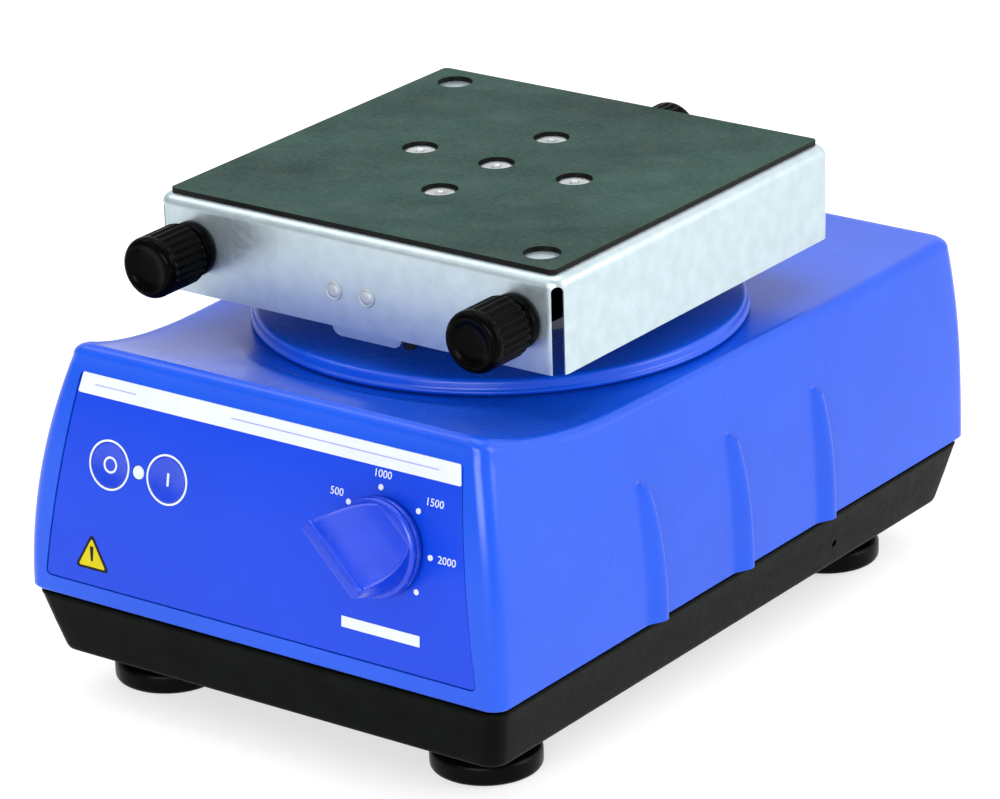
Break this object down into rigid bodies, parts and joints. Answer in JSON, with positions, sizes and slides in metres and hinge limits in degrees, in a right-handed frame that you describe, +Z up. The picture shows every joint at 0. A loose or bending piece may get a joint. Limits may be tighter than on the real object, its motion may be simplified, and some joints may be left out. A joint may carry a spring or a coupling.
{
  "type": "orbital vortex mixer",
  "caption": "Bench-top orbital vortex mixer: blue moulded housing on a black base tub, dial and push buttons, round shaking table, and a sheet-metal tray with rubber mat and clamp knobs.",
  "frame": {"origin": "middle of the outer box at rest, on the bench plane", "axes": "+Y from the dial to the mains inlet, along the length; +Z up; +X to the right as seen from the front"},
  "size_m": [0.1618, 0.25, 0.132],
  "materials": {
    "housing_blue": "semi-gloss moulded blue",
    "tub_black": "fine textured powder coat",
    "foot_rubber": "matt rubber",
    "panel_blue": "satin printed film",
    "print_white": "white print",
    "caution_yellow": "yellow film with a black border",
    "dial_blue": "semi-gloss",
    "led_white": "clear lens",
    "board_green": "solder mask",
    "black_plastic": "moulded",
    "white_plastic": "moulded",
    "steel": "bright zinc",
    "brass": "turned",
    "copper_winding": "enamelled wire",
    "lamination": "stacked sheet",
    "cast_aluminium": "fine cast and machined",
    "tray_metal": "satin",
    "mat_rubber": "matt, faintly mottled",
    "knob_black": "fluted, slight sheen"
  },
  "bodies": {
    "base": {"base_tub": "tub_black", "rubber_feet": "foot_rubber", "foot_screws": "steel", "upper_housing": "housing_blue", "housing_screws": "steel", "front_panel": "panel_blue", "stripe_label": "print_white", "panel_print": "print_white", "caution_mark": "caution_yellow", "status_led": "led_white", "switch_block": "black_plastic", "control_board": "board_green", "board_spacers": "white_plastic", "speed_pot": "steel", "pot_nut": "steel", "mains_inlet": "black_plastic", "inlet_pins": "brass", "inlet_screws": "steel", "power_board": "board_green", "board_posts": "brass", "transformer_core": "lamination", "transformer_coil": "copper_winding", "capacitors": "black_plastic", "heat_sink": "cast_aluminium", "chassis_plate": "cast_aluminium", "chassis_posts": "steel", "chassis_screws": "steel", "idler_bearings": "steel", "motor_can": "steel", "motor_stator": "copper_winding", "motor_bearings": "steel", "motor_screws": "steel"},
    "drive": {"drive_shaft": "steel", "motor_rotor": "lamination", "eccentric_hub": "steel", "counterweight": "brass", "hub_screw": "steel"},
    "idler_a": {"idler_crank_a": "steel"},
    "idler_b": {"idler_crank_b": "steel"},
    "idler_c": {"idler_crank_c": "steel"},
    "table": {"table_casting": "cast_aluminium", "table_bearing": "steel", "idler_bushes": "brass", "splash_disc": "housing_blue", "tray": "tray_metal", "tray_mat": "mat_rubber", "tray_screws": "steel", "skirt_plate": "tray_metal", "skirt_rivets": "steel", "skirt_nuts": "steel"},
    "dial": {"pot_shaft": "cast_aluminium", "speed_dial": "dial_blue"},
    "off_key": {"button_off": "dial_blue"},
    "on_key": {"button_on": "dial_blue"},
    "pad_left": {"clamp_pad_left": "knob_black"},
    "pad_right": {"clamp_pad_right": "knob_black"},
    "pad_rear": {"clamp_pad_rear": "knob_black"},
    "knob_left": {"clamp_knob_left": "knob_black"},
    "knob_right": {"clamp_knob_right": "knob_black"},
    "knob_rear": {"clamp_knob_rear": "knob_black"}
  },
  "joints": [
    {"name": "drive_spin", "type": "hinge", "parent": "base", "child": "drive", "pos_m": [0, 0.00869, 0.066], "axis": [0, 0, 1], "continuous": true},
    {"name": "table_orbit", "type": "hinge", "parent": "drive", "child": "table", "pos_m": [0, 0.0067, 0.08], "axis": [0, 0, 1], "continuous": true},
    {"name": "idler_a_spin", "type": "hinge", "parent": "base", "child": "idler_a", "pos_m": [0, 0.0487, 0.064], "axis": [0, 0, 1], "continuous": true},
    {"name": "idler_b_spin", "type": "hinge", "parent": "base", "child": "idler_b", "pos_m": [-0.03464, -0.01131, 0.064], "axis": [0, 0, 1], "continuous": true},
    {"name": "idler_c_spin", "type": "hinge", "parent": "base", "child": "idler_c", "pos_m": [0.03464, -0.01131, 0.064], "axis": [0, 0, 1], "continuous": true},
    {"name": "dial_turn", "type": "hinge", "parent": "base", "child": "dial", "pos_m": [0.0407, -0.10182, 0.0677], "axis": [0, 0.9844, -0.1758], "range_deg": [-47, 181]},
    {"name": "off_press", "type": "slide", "parent": "base", "child": "off_key", "axis": [0, 0.9823, -0.1872], "range_m": [0, 0.0006], "stiffness_N_per_m": 800},
    {"name": "on_press", "type": "slide", "parent": "base", "child": "on_key", "axis": [0, 0.9823, -0.1872], "range_m": [0, 0.0006], "stiffness_N_per_m": 800},
    {"name": "clamp_left_travel", "type": "slide", "parent": "table", "child": "pad_left", "axis": [0, -1, 0], "range_m": [0, 0.0022]},
    {"name": "clamp_left_turn", "type": "hinge", "parent": "pad_left", "child": "knob_left", "pos_m": [-0.053, -0.05781, 0.1175], "axis": [0, -1, 0], "range_deg": [0, 1000]},
    {"name": "clamp_right_travel", "type": "slide", "parent": "table", "child": "pad_right", "axis": [0, -1, 0], "range_m": [0, 0.0022]},
    {"name": "clamp_right_turn", "type": "hinge", "parent": "pad_right", "child": "knob_right", "pos_m": [0.053, -0.05781, 0.1175], "axis": [0, -1, 0], "range_deg": [0, 1000]},
    {"name": "clamp_rear_travel", "type": "slide", "parent": "table", "child": "pad_rear", "axis": [0, 1, 0], "range_m": [0, 0.0022]},
    {"name": "clamp_rear_turn", "type": "hinge", "parent": "pad_rear", "child": "knob_rear", "pos_m": [0, 0.07119, 0.1175], "axis": [0, 1, 0], "range_deg": [0, 1000]}
  ],
  "couplings": [
    {"joint": "table_orbit", "follows": "drive_spin", "ratio": -1},
    {"joint": "idler_a_spin", "follows": "drive_spin", "ratio": 1},
    {"joint": "idler_b_spin", "follows": "drive_spin", "ratio": 1},
    {"joint": "idler_c_spin", "follows": "drive_spin", "ratio": 1},
    {"joint": "clamp_left_turn", "follows": "clamp_left_travel", "rad_per_m": 7854},
    {"joint": "clamp_right_turn", "follows": "clamp_right_travel", "rad_per_m": 7854},
    {"joint": "clamp_rear_turn", "follows": "clamp_rear_travel", "rad_per_m": 7854}
  ]
}
